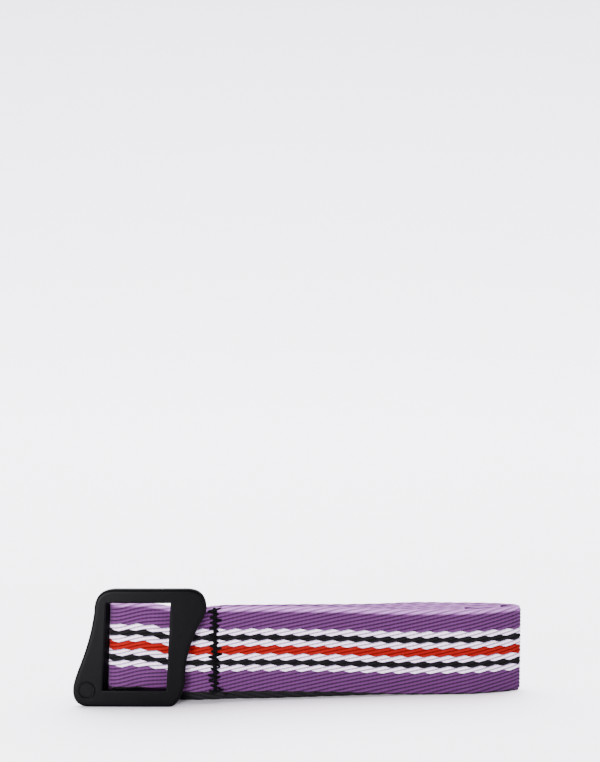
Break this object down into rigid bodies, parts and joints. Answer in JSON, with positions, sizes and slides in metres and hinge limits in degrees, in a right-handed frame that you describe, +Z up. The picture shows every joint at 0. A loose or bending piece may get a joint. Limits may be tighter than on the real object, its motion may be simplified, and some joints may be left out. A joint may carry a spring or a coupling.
{
  "type": "canvas web belt with a plate buckle",
  "caption": "Striped canvas web belt looped on a black metal plate buckle and laid in flat folds, standing on its edge.",
  "frame": {"origin": "centre of the footprint's box, on the surface that the belt stands on", "axes": "+X along the folded belt from the buckle to the folded end, +Y from the buckle's face to the back of the folds, +Z up across the web's width"},
  "size_m": [0.1954, 0.0372, 0.0518],
  "materials": {
    "buckle_metal": "satin black coated cast metal",
    "cotton_web": "heavy twill cotton web, purple with white, black and red stripes",
    "black_thread": "black sewing thread"
  },
  "bodies": {
    "root": {"buckle_frame": "buckle_metal", "web_strap": "cotton_web"}
  },
  "joints": []
}
